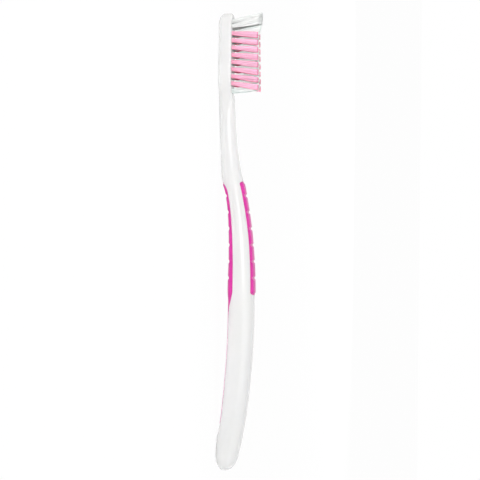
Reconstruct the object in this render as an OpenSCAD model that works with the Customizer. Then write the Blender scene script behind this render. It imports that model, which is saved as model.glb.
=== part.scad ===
// Manual toothbrush: a moulded handle with two soft grips and stapled bristle tufts.
// The brush lies on its back: +X points from the tail to the toe, +Z is the way the bristles stand.
// Origin: under the middle of the bounding box, on the surface that the brush lies on.

/* [Overall] */
// Length of the moulding, from the tail to the toe
brush_l = 190; // [175:1:205]
// Height of the handle's back over the surface, at the top of its arch
arch_h = 5.05; // [3.5:0.05:6]

/* [Head] */
// Width of the head
head_w = 12; // [11.6:0.1:13.5]
// Thickness of the head, from its flat back to the face with the tufts
head_t = 5.4; // [5:0.1:6.2]
// Radius of the edge round the tuft face
face_edge_r = 0.9; // [0.5:0.1:1.2]
// Radius of the edge round the back of the head
back_edge_r = 1.8; // [1:0.1:2.2]
// Length over which the toe is rounded, seen from the bristle side
toe_round_l = 7; // [5:0.1:8]
// Length over which the back curves up to the toe
toe_rise_l = 5; // [3:0.1:6]
// How far the back has risen at the toe
toe_rise_h = 1.6; // [1:0.1:3]

/* [Neck] */
// Length of the neck, from the head to the shoulder
neck_l = 35.4; // [28:0.1:40]
// Width of the neck at its thinnest
neck_w = 6.2; // [5.4:0.1:7.4]
// Thickness of the neck at its thinnest
neck_t = 6.25; // [5.6:0.05:7]

/* [Handle] */
// Length of the part of the handle that the grips cover
grip_zone_l = 46; // [42:0.5:52]
// Width of the shoulder, where the neck starts
shoulder_w = 9.8; // [9:0.1:11]
// Thickness of the shoulder
shoulder_t = 8.6; // [7.6:0.1:9.4]
// Width of the handle at its widest
body_w = 13.2; // [12:0.1:15]
// Thickness of the handle at its thickest
body_t = 10.6; // [9.6:0.1:12]
// Width of the tail
tail_w = 11; // [10:0.1:12.5]
// Thickness of the tail
tail_t = 9.3; // [8:0.1:10]
// Length over which the tail is rounded
tail_round_l = 6.8; // [5:0.1:9]

/* [Grips] */
// How deep the grips sit in the moulding
pocket_d = 0.7; // [0.5:0.05:0.7]
// How far the rim of a grip stands above the moulding
rim_proud = 0.1; // [0.05:0.05:0.2]
// How far the pads of a grip stand above the moulding
pad_proud = 0.4; // [0.25:0.05:0.5]
// Width of the rim round the pads
rim_w = 0.9; // [0.6:0.1:1.2]
// Length of the front grip
front_grip_l = 47.2; // [42:0.1:50]
// Distance from the shoulder to the front grip
front_grip_gap = 0.85; // [0.6:0.05:2]
// Width of the front grip at its lower end
front_grip_w = 9.2; // [8.2:0.1:9.8]
// Width of the front grip at its upper end
front_grip_top_w = 7.6; // [6.6:0.1:8]
// Length over which the ends of the front grip are rounded
front_end_l = 1.3; // [1:0.1:3]
// Distance from the shoulder to the back grip
back_grip_gap = 1; // [0.8:0.1:4]
// Wall left beside the back grip, where it is widest
back_margin = 0.8; // [0.75:0.05:1.6]
// Wall left beside the back grip, at its upper end
back_top_margin = 1.25; // [1.1:0.05:2]
// Length of the wide part of the back grip
paddle_l = 45; // [40:0.5:46]
// Length of the taper between the wide part and the strip
taper_l = 14; // [10:0.5:18]
// Length over which the raised pads of the back grip come down to the strip
pad_fade_l = 5; // [3:0.5:12]
// Width of the strip that runs on towards the tail
strip_w = 4; // [3:0.1:5]
// Distance from the tail to the end of the strip
strip_end = 18.9; // [17:0.1:24]
// Length over which the upper end of the back grip is rounded
back_end_l = 4.5; // [2:0.1:6]
// Number of grooves across each grip
grooves = 6; // [3:1:7]
// Distance between grooves
groove_pitch = 6.82; // [6:0.01:7.2]
// Distance from the shoulder to the first groove
groove_first = 6.85; // [6.2:0.05:8]
// Depth of a groove, from the top of a pad
groove_d = 0.7; // [0.3:0.05:0.75]
// Width of a groove at its mouth
groove_w = 1.9; // [1.2:0.1:2.6]
// Width of a groove at its floor
groove_floor_w = 0.5; // [0.3:0.1:1]

/* [Tufts] */
// Number of rows that have four tufts, coloured outside and clear inside
rows = 8; // [6:1:9]
// Distance between rows
row_pitch = 2.95; // [2.7:0.05:3.1]
// Distance between tufts across the head
column_pitch = 2.3; // [2.2:0.02:2.4]
// Distance between the two slanted rows at the toe
toe_pitch = 2.7; // [2.4:0.05:3]
// Distance from the toe to the tuft in its middle
toe_inset = 3.1; // [2.8:0.1:3.6]
// How far the other two tufts at the toe are set back from the middle one
toe_set_back = 0.6; // [0:0.05:0.8]
// Distance from the last row to the neck
heel_inset = 1.25; // [1.1:0.05:2]
// Width of a tuft hole
hole_d = 1.8; // [1.6:0.05:1.85]
// Depth of a tuft hole
hole_depth = 3.5; // [3:0.1:3.8]
// Gap round everything that is pressed or moulded in
fit_gap = 0.02; // [0.01:0.01:0.04]
// Height of the bristles above the face, at the toe end of the straight rows
bristle_h = 10.8; // [9:0.1:12]
// How much longer the bristles at the heel are
heel_extra_h = 0.4; // [0:0.05:0.8]
// Height of the slanted bristles at the toe, in the middle of the head
toe_bristle_h = 12.3; // [10:0.1:12.6]
// Height of the slanted bristles next to the straight ones, in the middle of the head
toe_inner_h = 12.2; // [9.6:0.1:12.4]
// How much lower the slanted bristles are beside the middle of the head, at its outer tufts
toe_crown_h = 1.6; // [0:0.1:2]
// Angle at which the toe bristles lean towards the toe
toe_lean_angle = 11.5; // [6:0.5:14]
// Angle at which the coloured tufts lean towards the neck, at the toe end
outer_lean_angle = 4; // [0:0.5:6]
// Angle at which the coloured tufts lean towards the neck, at the heel end
outer_heel_lean_angle = 9; // [4:0.5:11]
// Angle at which the clear tufts lean towards the toe, across the slant of the coloured ones
clear_lean_angle = 9; // [0:0.5:11]
// Width of one strand, measured over its corners
strand_d = 0.36; // [0.3:0.01:0.37]
// Strands in the ring of a tuft
ring_strands = 7; // [5:1:7]
// Strands in the middle of a tuft
core_strands = 3; // [2:1:3]

/* [Staples] */
// Length of the wire staple that holds a tuft
staple_l = 2.1; // [1.9:0.05:2.2]
// Thickness of the staple
staple_t = 0.28; // [0.2:0.02:0.34]
// Height of the staple
staple_h = 1.3; // [1:0.05:1.6]
// Height of the folded bristles under the staple
fold_h = 0.5; // [0.3:0.05:0.8]
// Angle between the staples and the length of the head
staple_angle = 35; // [20:1:70]

/* [Hidden] */

// Lengths along the brush, from the tail
head_l = toe_inset + toe_pitch + (rows + 1) * row_pitch + heel_inset;
heel_x = brush_l - head_l;
shoulder_x = heel_x - neck_l;
lower_l = shoulder_x - grip_zone_l;
toe_inner_x = brush_l - toe_inset - toe_pitch;
heel_row_x = toe_inner_x - (rows + 1) * row_pitch;

// Stations of the moulding, zone by zone. Each row is a share of the zone's length, a share of the way
// from the zone's first width to its second, a share of the arch, a share of the way from the zone's
// first thickness to its second, and how round the section is, from 0 on the head to 1 on the handle.
lower_shares = [
    [0, -0.1, 0, -0.65, 1],
    [0.08, 0, 0, 0, 1],
    [0.164, 0.36, 0.055, 0.9, 1],
    [0.193, 0.4, 0.11, 0.98, 1],
    [0.227, 0.43, 0.23, 0.84, 1],
    [0.267, 0.46, 0.35, 0.8, 1],
    [0.33, 0.55, 0.467, 0.84, 1],
    [0.5, 0.68, 0.697, 1.01, 1],
    [0.664, 0.82, 0.857, 1.05, 1],
    [0.83, 0.91, 0.927, 1.11, 1]
];
grip_shares = [
    [0, 0, 0.94, 0, 1],
    [0.17, 0, 0.974, 0.2, 1],
    [0.28, 0.03, 1, 0.43, 1],
    [0.45, 0.12, 0.992, 0.72, 1],
    [0.61, 0.29, 0.947, 1.07, 1],
    [0.72, 0.47, 0.871, 1.27, 1],
    [0.83, 0.7, 0.737, 1.38, 1],
    [0.915, 0.88, 0.584, 1.34, 1],
    [0.957, 0.95, 0.426, 1.16, 1],
    [1, 1, 0.281, 1, 1]
];
neck_shares = [
    [0.056, 0.17, 0.238, 0.11, 1],
    [0.2, 0.5, 0.178, 0.42, 1],
    [0.34, 0.72, 0.14, 0.64, 1],
    [0.55, 0.89, 0.07, 0.81, 1],
    [0.76, 0.95, 0.018, 0.9, 0.85],
    [0.88, 0.83, 0, 0.98, 0.45]
];
head_shares = [
    [-0.035, 0.3, 0, 0.2, 0.3],
    [-0.012, 0.36, 0, 0.5, 0.2],
    [0.004, 0.42, 0, 1, 0],
    [0.02, 0.48, 0, 1, 0],
    [0.08, 0.69, 0, 1, 0],
    [0.14, 0.85, 0, 1, 0],
    [0.2, 0.95, 0, 1, 0],
    [0.3, 1, 0, 1, 0],
    [0.6, 1, 0, 1, 0],
    [1, 1, 0, 1, 0]
];
// Share of the half section that its rounded corners take up on the handle
round_share = 0.86;

function mix(a, b, share) = a + (b - a) * share;
function ease(u) = let (v = min(1, max(0, u))) v * v * (3 - 2 * v);
function zone(table, x0, len, w0, w1, t0, t1) = [
    for (s = table)
        [x0 + s[0] * len, mix(w0, w1, s[1]) / 2, s[2] * arch_h, mix(t0, t1, s[3]), s[4]]
];
stations = concat(
    zone(lower_shares, 0, lower_l, tail_w, body_w, tail_t, body_t),
    zone(grip_shares, lower_l, grip_zone_l, body_w, shoulder_w, body_t, shoulder_t),
    zone(neck_shares, shoulder_x, neck_l, shoulder_w, neck_w, shoulder_t, neck_t),
    zone(head_shares, heel_x, head_l, neck_w, head_w, neck_t, head_t)
);

// A smooth curve through a table that never swings past its own points
function secant(table, i, c) = (table[i + 1][c] - table[i][c]) / (table[i + 1][0] - table[i][0]);
function slope(table, i, c) =
    i == 0 ? secant(table, 0, c)
    : i == len(table) - 1 ? secant(table, i - 1, c)
    : let (a = secant(table, i - 1, c), b = secant(table, i, c)) a * b <= 0 ? 0 : 2 * a * b / (a + b);
function span_of(table, x, i = 0) =
    i >= len(table) - 2 || x < table[i + 1][0] ? i : span_of(table, x, i + 1);
function curve(table, x, c) =
    let (
        i = span_of(table, x),
        l = table[i + 1][0] - table[i][0],
        u = min(1, max(0, (x - table[i][0]) / l)),
        u2 = u * u,
        u3 = u2 * u
    )
    table[i][c] * (2 * u3 - 3 * u2 + 1) + slope(table, i, c) * l * (u3 - 2 * u2 + u)
    + table[i + 1][c] * (3 * u2 - 2 * u3) + slope(table, i + 1, c) * l * (u3 - u2);

// Rounded ends: how much of the full section is left at a distance d from the end
function rounded(d, length, power) =
    d >= length ? 1 : pow(1 - pow((length - max(d, 0)) / length, power), 1 / power);
// How square the rounded ends are: 2 gives an ellipse
plan_power = 2.3;
// Share of the thickness at which the tail comes to its end
tail_share = 0.43;

function half_width(x) =
    curve(stations, x, 1) * rounded(x, tail_round_l, plan_power)
    * rounded(brush_l - x, toe_round_l, plan_power);
function full_back(x) = curve(stations, x, 2);
function full_thickness(x) = curve(stations, x, 3);
function tail_middle(x) = full_back(x) + tail_share * full_thickness(x);
function cut_back(d, length, height) = height * (1 - rounded(d, length, 2));
function back_z(x) =
    mix(tail_middle(x), full_back(x), rounded(x, tail_round_l, plan_power))
    + cut_back(brush_l - x, toe_rise_l, toe_rise_h);
function front_z(x) =
    mix(tail_middle(x), full_back(x) + full_thickness(x), rounded(x, tail_round_l, plan_power))
    - cut_back(brush_l - x, face_edge_r, face_edge_r);
function roundness(x) = curve(stations, x, 4);

// One section of the moulding, drawn in by inset: four corners, each a quarter of an ellipse
corner_steps = 5;
function corner(cy, cz, ry, rz, start) = [
    for (i = [0:corner_steps])
        let (a = start + 90 * i / corner_steps) [cy + ry * cos(a), cz + rz * sin(a)]
];
function section(x, inset) =
    let (
        w = half_width(x) - inset,
        low = back_z(x) + inset,
        high = front_z(x) - inset,
        half_t = (high - low) / 2,
        k = roundness(x),
        front_y = mix(min(face_edge_r, round_share * w), round_share * w, k),
        front_r = mix(min(face_edge_r, round_share * half_t), round_share * half_t, k),
        back_y = mix(min(back_edge_r, round_share * w), round_share * w, k),
        back_r = mix(min(back_edge_r, round_share * half_t), round_share * half_t, k)
    )
    concat(
        corner(w - front_y, high - front_r, front_y, front_r, 0),
        corner(front_y - w, high - front_r, front_y, front_r, 90),
        corner(back_y - w, low + back_r, back_y, back_r, 180),
        corner(w - back_y, low + back_r, back_y, back_r, 270)
    );

// Solid through the sections at xs, each drawn in by its own inset, with triangles between neighbouring
// sections and a fan on each end
module loft(xs, insets) {
    rings = [for (i = [0:len(xs) - 1]) [for (p = section(xs[i], insets[i])) [xs[i], p[0], p[1]]]];
    n = len(rings[0]);
    last = (len(xs) - 1) * n;
    walls = [
        for (i = [0:len(xs) - 2], j = [0:n - 1])
            let (a = i * n + j, b = i * n + (j + 1) % n)
                each [[a, a + n, b], [b, a + n, b + n]]
    ];
    caps = [for (j = [1:n - 2]) each [[0, j, j + 1], [last, last + j + 1, last + j]]];
    polyhedron(points = [for (r = rings) each r], faces = concat(walls, caps), convexity = 6);
}

function steps(from, to, pitch) =
    let (n = max(1, round((to - from) / pitch))) [for (i = [0:n - 1]) from + (to - from) * i / n];
end_angles = [for (a = [8:12:80]) a];
tail_xs = [for (a = end_angles) tail_round_l * (1 - cos(a))];
toe_xs = [for (i = [len(end_angles) - 1:-1:0]) brush_l - toe_round_l * (1 - cos(end_angles[i]))];
// Spacing of the sections on the long curves, where the shape changes faster, and at the heel
long_pitch = 3.2;
short_pitch = 1.1;
heel_pitch = 0.75;
// Length on each side of a bend that has the closer sections
bend_l = 5;
moulding_xs = concat(
    tail_xs,
    steps(tail_round_l, strip_end - bend_l, long_pitch),
    steps(strip_end - bend_l, strip_end + bend_l, short_pitch),
    steps(strip_end + bend_l, shoulder_x - bend_l, long_pitch),
    steps(shoulder_x - bend_l, shoulder_x, short_pitch),
    steps(shoulder_x, heel_x - bend_l, long_pitch),
    steps(heel_x - bend_l, heel_x + bend_l, heel_pitch),
    steps(heel_x + bend_l, brush_l - toe_round_l, long_pitch),
    toe_xs
);
// Sections for the skins that the grips lie between, past both ends of the grips
skin_xs = steps(strip_end - bend_l, shoulder_x + bend_l, long_pitch);
function within(low, high) = [for (x = skin_xs) if (x > low - bend_l && x < high + bend_l) x];
function same(xs, value) = [for (x = xs) value];

// Outlines of the grips, seen from the bristle side, drawn in by gap
front_high_x = shoulder_x - front_grip_gap;
front_low_x = front_high_x - front_grip_l;
back_high_x = shoulder_x - back_grip_gap;
paddle_low_x = back_high_x - paddle_l;
strip_x = paddle_low_x - taper_l;
// Number of points along a rounded end, the taper and the wide part
end_steps = 5;
taper_steps = 8;
paddle_steps = 7;

function end_x(from, length, sign) = [
    for (i = [0:end_steps]) from + sign * length * (1 - cos(90 * i / end_steps))
];
function front_half(x, gap) =
    mix(front_grip_w, front_grip_top_w, (x - front_low_x) / front_grip_l) / 2 - gap;
function outline(xs, half) = concat(
    [for (i = [0:len(xs) - 1]) [xs[i], -half[i]]],
    [for (i = [len(xs) - 1:-1:0]) [xs[i], half[i]]]
);
// The smallest half width of a rounded end, so that its last two points stay apart
end_half = 0.1;

module front_outline(gap) {
    low = front_low_x + gap;
    high = front_high_x - gap;
    up = end_x(low, front_end_l, 1);
    down = end_x(high, front_end_l, -1);
    xs = concat(up, [for (i = [end_steps:-1:0]) down[i]]);
    half = [
        for (x = xs)
            max(end_half, front_half(x, gap) * rounded(min(x - low, high - x), front_end_l, plan_power))
    ];
    polygon(outline(xs, half));
}

function back_half(x, gap) =
    let (
        wide = half_width(x) - mix(back_margin, back_top_margin, ease((x - paddle_low_x) / paddle_l))
    )
    mix(strip_w / 2, wide, ease((x - strip_x) / taper_l)) - gap;

module back_outline(gap) {
    low = strip_end + gap;
    high = back_high_x - gap;
    up = end_x(low, strip_w / 2, 1);
    down = end_x(high, back_end_l, -1);
    xs = concat(
        up,
        steps(strip_x, paddle_low_x, taper_l / taper_steps),
        steps(paddle_low_x, high - back_end_l, paddle_l / paddle_steps),
        [for (i = [end_steps:-1:0]) down[i]]
    );
    half = [
        for (x = xs)
            max(
                end_half,
                back_half(x, gap) * rounded(x - low, strip_w / 2, 2)
                * rounded(high - x, back_end_l, plan_power)
            )
    ];
    polygon(outline(xs, half));
}

// Grooves across the pads: a trapezoid prism for each, standing on the surface at its own place
over = 1;
groove_xs = [for (i = [0:grooves - 1]) shoulder_x - groove_first - i * groove_pitch];

module groove(x, z, side) {
    reach = groove_d + over;
    mouth = mix(groove_floor_w, groove_w, reach / groove_d);
    translate([x, body_w / 2, z - side * groove_d])
        rotate([90, 0, 0])
            linear_extrude(body_w)
                polygon([
                    [-groove_floor_w / 2, 0],
                    [groove_floor_w / 2, 0],
                    [mouth / 2, side * reach],
                    [-mouth / 2, side * reach]
                ]);
}

// Everything within an outline, on one side of the middle of the moulding
module slab(side) {
    far = body_t + arch_h;
    middle = [for (x = skin_xs) [x, (back_z(x) + front_z(x)) / 2]];
    edge = [for (i = [len(middle) - 1:-1:0]) [middle[i][0], middle[i][1] + side * far]];
    intersection() {
        translate([0, 0, -far])
            linear_extrude(3 * far)
                children();
        translate([0, body_w, 0])
            rotate([90, 0, 0])
                linear_extrude(2 * body_w)
                    polygon(concat(middle, edge));
    }
}

// A grip before its grooves: the rim over the whole outline, which is the first child, and the pads
// over the second, both down to the floor of the pocket
module grip_blank(xs, prouds, side) {
    difference() {
        union() {
            intersection() {
                slab(side)
                    children(0);
                loft(xs, same(xs, -rim_proud));
            }
            intersection() {
                slab(side)
                    children(1);
                loft(xs, -prouds);
            }
        }
        loft(xs, same(xs, pocket_d - fit_gap));
    }
}

// Places of the tufts across the head
inner_ys = [-column_pitch / 2, column_pitch / 2];
outer_ys = [-column_pitch * 1.5, column_pitch * 1.5];
toe_inner_ys = concat(outer_ys, inner_ys);
toe_tip_ys = [-column_pitch, 0, column_pitch];
function toe_tip_x(y) = brush_l - toe_inset - toe_set_back * pow(y / column_pitch, 2);
function row_x(i) = heel_row_x + i * row_pitch;
tuft_places = concat(
    [for (y = inner_ys) [heel_row_x, y]],
    [for (i = [1:rows], y = concat(outer_ys, inner_ys)) [row_x(i), y]],
    [for (y = toe_inner_ys) [toe_inner_x, y]],
    [for (y = toe_tip_ys) [toe_tip_x(y), y]]
);
hole_sides = 12;
hole_floor_z = head_t - hole_depth;
staple_z = hole_floor_z + fit_gap + fold_h;

module staple_block(gap) {
    rotate([0, 0, staple_angle])
        translate([-staple_l / 2 - gap, -staple_t / 2 - gap, staple_z - gap])
            cube([staple_l + 2 * gap, staple_t + 2 * gap, staple_h + 2 * gap]);
}

module tuft_hole() {
    translate([0, 0, hole_floor_z])
        cylinder(d = hole_d, h = hole_depth + over, $fn = hole_sides);
    staple_block(fit_gap);
}

// One strand: a straight bar with four sides, cut level at its tip
strand_sides = 4;
// Share of the hole's depth that the strands reach down into the root
strand_root_share = 0.3;
module strand(foot, tip) {
    ring = [
        for (i = [0:strand_sides - 1])
            let (a = 360 * (i + 0.5) / strand_sides) [cos(a), sin(a), 0] * strand_d / 2
    ];
    points = concat([for (p = ring) foot + p], [for (p = ring) tip + p]);
    n = strand_sides;
    walls = [
        for (i = [0:n - 1])
            let (j = (i + 1) % n) each [[i, i + n, j], [j, i + n, j + n]]
    ];
    caps = [for (i = [1:n - 2]) each [[0, i, i + 1], [n, n + i + 1, n + i]]];
    polyhedron(points = points, faces = concat(walls, caps));
}

// Places of the strands in a tuft, as distances from its middle, and how far they spread at the tips
ring_r = hole_d / 2 - strand_d / 2 - fit_gap;
core_share = 0.62;
core_r = core_share * strand_d;
core_angle_share = 0.25;
spread_x_share = 1.62;
spread_y_share = 1.3;
function strand_places() = concat(
    [for (i = [0:ring_strands - 1])
        let (a = 360 * i / ring_strands) ring_r * [cos(a), sin(a)]],
    [for (i = [0:core_strands - 1])
        let (a = 360 * (i + core_angle_share) / core_strands) core_r * [cos(a), sin(a)]]
);

// How much lower a slanted bristle is at a distance y from the middle of the head
function crown(y) = toe_crown_h * pow(y / (outer_ys[1] + hole_d / 2), 2);

// A tuft with its root folded round a staple in the hole: height is that of its middle above the face,
// lean is its slant towards the toe, rise is how much higher a strand is for each unit towards the toe,
// and at_y is the tuft's own place across a crowned head
module tuft(height, lean, rise = 0, at_y = 0) {
    root_r = hole_d / 2 - fit_gap;
    root_z = hole_floor_z + fit_gap;
    difference() {
        translate([0, 0, root_z])
            cylinder(r = root_r, h = head_t - root_z, $fn = hole_sides);
        staple_block(fit_gap);
    }
    for (p = strand_places()) {
        foot = [p[0], p[1], head_t - strand_root_share * hole_depth];
        out = [p[0] * spread_x_share, p[1] * spread_y_share];
        h = height + rise * out[0] - (rise == 0 ? 0 : crown(at_y + out[1]));
        strand(foot, [out[0] + h * tan(lean), out[1], head_t + h]);
    }
}

// Share of the way from the toe end of the straight rows to their heel end
function heel_share(i) = (rows - i) / (rows - 1);
function row_h(i) = bristle_h + heel_extra_h * heel_share(i);
// The slanted toe bristles are cut along a line from the inner row up to the tip row
toe_cut_rise = (toe_bristle_h - toe_inner_h)
    / (toe_pitch + toe_bristle_h * tan(toe_lean_angle) - toe_inner_h * tan(toe_lean_angle));

module handle() {
    color("#f2f3f3")
        difference() {
            loft(moulding_xs, same(moulding_xs, 0));
            difference() {
                union() {
                    slab(1)
                        front_outline(0);
                    slab(-1)
                        back_outline(0);
                }
                loft(skin_xs, same(skin_xs, pocket_d));
            }
            for (p = tuft_places)
                translate([p[0], p[1], 0])
                    tuft_hole();
        }
}

module front_grip() {
    xs = within(front_low_x, front_high_x);
    color("#e247a5")
        difference() {
            grip_blank(xs, same(xs, pad_proud), 1) {
                front_outline(fit_gap);
                front_outline(rim_w);
            }
            for (x = groove_xs)
                groove(x, front_z(x) + pad_proud, 1);
        }
}

module back_grip() {
    // The pads rise out of the strip just before its wide part
    rise = [for (x = skin_xs) ease((x - paddle_low_x + pad_fade_l) / pad_fade_l)];
    prouds = [for (r = rise) mix(rim_proud, pad_proud, r)];
    color("#e247a5")
        difference() {
            grip_blank(skin_xs, prouds, -1) {
                back_outline(fit_gap);
                back_outline(rim_w);
            }
            for (x = groove_xs)
                groove(x, back_z(x) - pad_proud, -1);
        }
}

module pink_tufts(i) {
    color("#f2a9c9")
        for (y = outer_ys)
            translate([row_x(i), y, 0])
                tuft(row_h(i), -mix(outer_lean_angle, outer_heel_lean_angle, heel_share(i)));
}

module clear_tufts(i) {
    color("#eef2f1")
        for (y = inner_ys)
            translate([row_x(i), y, 0])
                tuft(row_h(i), clear_lean_angle);
}

module heel_tufts() {
    color("#eef2f1")
        for (y = inner_ys)
            translate([heel_row_x, y, 0])
                tuft(row_h(1), clear_lean_angle);
}

module toe_tufts_inner() {
    color("#f1f2f2")
        for (y = toe_inner_ys)
            translate([toe_inner_x, y, 0])
                tuft(toe_inner_h, toe_lean_angle, toe_cut_rise, y);
}

module toe_tufts_tip() {
    color("#f1f2f2")
        for (y = toe_tip_ys)
            translate([toe_tip_x(y), y, 0])
                tuft(toe_bristle_h, toe_lean_angle, toe_cut_rise, y);
}

module tuft_staples() {
    color("#c9a85c")
        for (p = tuft_places)
            translate([p[0], p[1], 0])
                staple_block(0);
}

// The middle of the whole brush, counting the toe bristles that reach past the head
toe_spread = ring_r * spread_x_share;
toe_tip_h = toe_bristle_h + toe_cut_rise * toe_spread;
toe_tip_reach = toe_tip_x(0) + toe_spread + toe_tip_h * tan(toe_lean_angle) + strand_d * cos(45) / 2;
middle_x = max(brush_l, toe_tip_reach) / 2;

translate([-middle_x, 0, 0]) {
    handle();
    front_grip();
    back_grip();
    for (i = [1:rows]) {
        pink_tufts(i);
        clear_tufts(i);
    }
    heel_tufts();
    toe_tufts_inner();
    toe_tufts_tip();
    tuft_staples();
}
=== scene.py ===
"""Looks of a manual toothbrush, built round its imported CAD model.

Sizes are in millimetres along the brush, from the tail at x = 0 to the toe of the head, and are turned to
metres in the model's own frame where a mesh is written.
"""

import logging
import math
from dataclasses import dataclass, field, replace
from enum import Enum

import bpy
import numpy as np
from mathutils import Matrix


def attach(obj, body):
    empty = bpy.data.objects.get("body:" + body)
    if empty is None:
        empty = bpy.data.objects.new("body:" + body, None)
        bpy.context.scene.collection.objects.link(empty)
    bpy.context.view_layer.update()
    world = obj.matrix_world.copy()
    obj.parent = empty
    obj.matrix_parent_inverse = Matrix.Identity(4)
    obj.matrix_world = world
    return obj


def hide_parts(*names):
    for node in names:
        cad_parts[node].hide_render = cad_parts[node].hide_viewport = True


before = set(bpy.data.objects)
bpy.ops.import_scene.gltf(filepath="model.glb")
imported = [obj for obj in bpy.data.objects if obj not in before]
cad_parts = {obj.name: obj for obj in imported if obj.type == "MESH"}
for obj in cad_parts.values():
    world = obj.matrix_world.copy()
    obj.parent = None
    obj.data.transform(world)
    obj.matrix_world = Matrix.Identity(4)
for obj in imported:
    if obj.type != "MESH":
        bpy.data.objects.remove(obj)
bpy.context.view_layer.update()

LOG = logging.getLogger("toothbrush")
MM = 0.001
# A slope is measured from this far on each side of a place, in millimetres
STEP = 0.02


class Side(Enum):
    """The two faces of the handle that carry a grip."""

    FRONT = 1
    BACK = -1


class Nylon(Enum):
    """The three kinds of filament, each with the record's slot for it."""

    PINK = "pink_bristle"
    CLEAR = "clear_bristle"
    WHITE = "white_bristle"


# Small tools for nodes, meshes and shapes


def linear(hex_colour: str) -> tuple[float, ...]:
    """Turns an sRGB hex colour to the linear red, green, blue and alpha that a socket takes."""
    parts = (int(hex_colour[i : i + 2], 16) / 255 for i in (1, 3, 5))
    return (*(c / 12.92 if c <= 0.04045 else ((c + 0.055) / 1.055) ** 2.4 for c in parts), 1.0)


def add_node(
    tree: bpy.types.NodeTree, kind: str, inputs: dict[str | int, object] | None = None, **settings: object
) -> bpy.types.Node:
    """Adds one node with its settings and links.

    Args:
        tree: The node tree that gets the node.
        kind: Blender's name for the kind of node.
        inputs: Values for its input sockets; an output socket as a value becomes a link.
        **settings: The node's own properties.

    Returns:
        The new node.
    """
    node = tree.nodes.new(kind)
    for name, value in settings.items():
        setattr(node, name, value)
    for name, value in (inputs or {}).items():
        if isinstance(value, bpy.types.NodeSocket):
            tree.links.new(value, node.inputs[name])
        else:
            node.inputs[name].default_value = value
    return node


def set_ramp(node: bpy.types.Node, stops: tuple[tuple[float, str], ...]) -> None:
    """Gives a colour ramp its stops.

    Args:
        node: The colour ramp.
        stops: Places from 0 to 1, each with an sRGB hex colour.
    """
    ramp = node.color_ramp
    while len(ramp.elements) < len(stops):
        ramp.elements.new(1.0)
    for element, (place, colour) in zip(ramp.elements, stops):
        element.position = place
        element.color = linear(colour)


def new_material(name: str) -> bpy.types.Material:
    """Makes an empty node-based material.

    Args:
        name: The material's name.

    Returns:
        The material, with no nodes yet.
    """
    material = bpy.data.materials.new(name)
    material.use_nodes = True
    material.node_tree.nodes.clear()
    return material


def background_rays(tree: bpy.types.NodeTree) -> bpy.types.NodeSocket:
    """Adds the nodes that tell apart the rays which show the background.

    Args:
        tree: The node tree of the table top or the surroundings.

    Returns:
        A socket that is 1 for camera, glossy and transmission rays.
    """
    path = add_node(tree, "ShaderNodeLightPath")
    share = path.outputs["Is Camera Ray"]
    for ray in ("Is Glossy Ray", "Is Transmission Ray"):
        either = {0: share, 1: path.outputs[ray]}
        share = add_node(tree, "ShaderNodeMath", either, operation="MAXIMUM").outputs[0]
    return share


def deselect() -> None:
    """Leaves nothing selected, so that an operator acts only on what is made or picked next."""
    bpy.ops.object.select_all(action="DESELECT")


def pick(objects: list[bpy.types.Object]) -> None:
    """Selects some objects alone and makes the first of them active.

    Args:
        objects: The objects to select.
    """
    deselect()
    for obj in objects:
        obj.select_set(True)
    bpy.context.view_layer.objects.active = objects[0]


def named(name: str) -> bpy.types.Object:
    """Names the active object and its mesh, and gives the object."""
    bpy.context.object.name = bpy.context.object.data.name = name
    return bpy.context.object


def copy_of(obj: bpy.types.Object, name: str) -> bpy.types.Object:
    """Duplicates an object with a mesh of its own.

    Args:
        obj: The object to copy.
        name: The copy's name.

    Returns:
        The copy.
    """
    pick([obj])
    bpy.ops.object.duplicate(linked=False)
    return named(name)


def join(objects: list[bpy.types.Object], name: str) -> bpy.types.Object:
    """Joins objects into the first of them.

    Args:
        objects: The objects to join.
        name: The name of the joined object.

    Returns:
        The joined object.
    """
    pick(objects)
    bpy.ops.object.join()
    return named(name)


def step_of(places: np.ndarray, count: int) -> np.ndarray:
    """Numbers places from -1 to 1 by the one of count even steps that each is on."""
    return np.rint((places + 1) / 2 * (count - 1)).astype(int)


def start_edit() -> None:
    """Goes to edit mode with the whole shape selected."""
    bpy.ops.object.mode_set(mode="EDIT")
    bpy.ops.mesh.select_all(action="SELECT")


def end_edit() -> None:
    """Turns all faces of the shape outwards and goes back to object mode."""
    bpy.ops.mesh.select_all(action="SELECT")
    bpy.ops.mesh.normals_make_consistent(inside=False)
    bpy.ops.object.mode_set(mode="OBJECT")


def extrude(rise: float) -> None:
    """Extrudes what is selected upwards."""
    bpy.ops.mesh.extrude_region_move(TRANSFORM_OT_translate={"value": (0, 0, rise)})


def read_points(obj: bpy.types.Object) -> np.ndarray:
    """Reads a mesh's points as one row of x, y, z for each.

    Args:
        obj: The mesh object.

    Returns:
        The rows.
    """
    flat = np.zeros(len(obj.data.vertices) * 3)
    obj.data.vertices.foreach_get("co", flat)
    return flat.reshape(-1, 3)


def write_points(obj: bpy.types.Object, points: np.ndarray) -> None:
    """Moves a mesh's points to the places in the rows of x, y, z."""
    obj.data.vertices.foreach_set("co", np.ascontiguousarray(points, dtype=float).ravel())
    obj.data.update()


def lay_points(obj: bpy.types.Object, points: np.ndarray, middle: float) -> None:
    """Moves a mesh's points to places on the brush, whose model has its origin at middle from the tail."""
    write_points(obj, (points - (middle, 0, 0)) * MM)


def cut_away(obj: bpy.types.Object, cutter: bpy.types.Object) -> None:
    """Cuts a closed shape out of an object and deletes that shape.

    Args:
        obj: The object.
        cutter: The closed shape.
    """
    pick([obj])
    bpy.ops.object.modifier_add(type="BOOLEAN")
    modifier = obj.modifiers[-1]
    modifier.operation, modifier.solver, modifier.object = "DIFFERENCE", "EXACT", cutter
    bpy.ops.object.modifier_apply(modifier=modifier.name)
    bpy.data.objects.remove(cutter)


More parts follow.
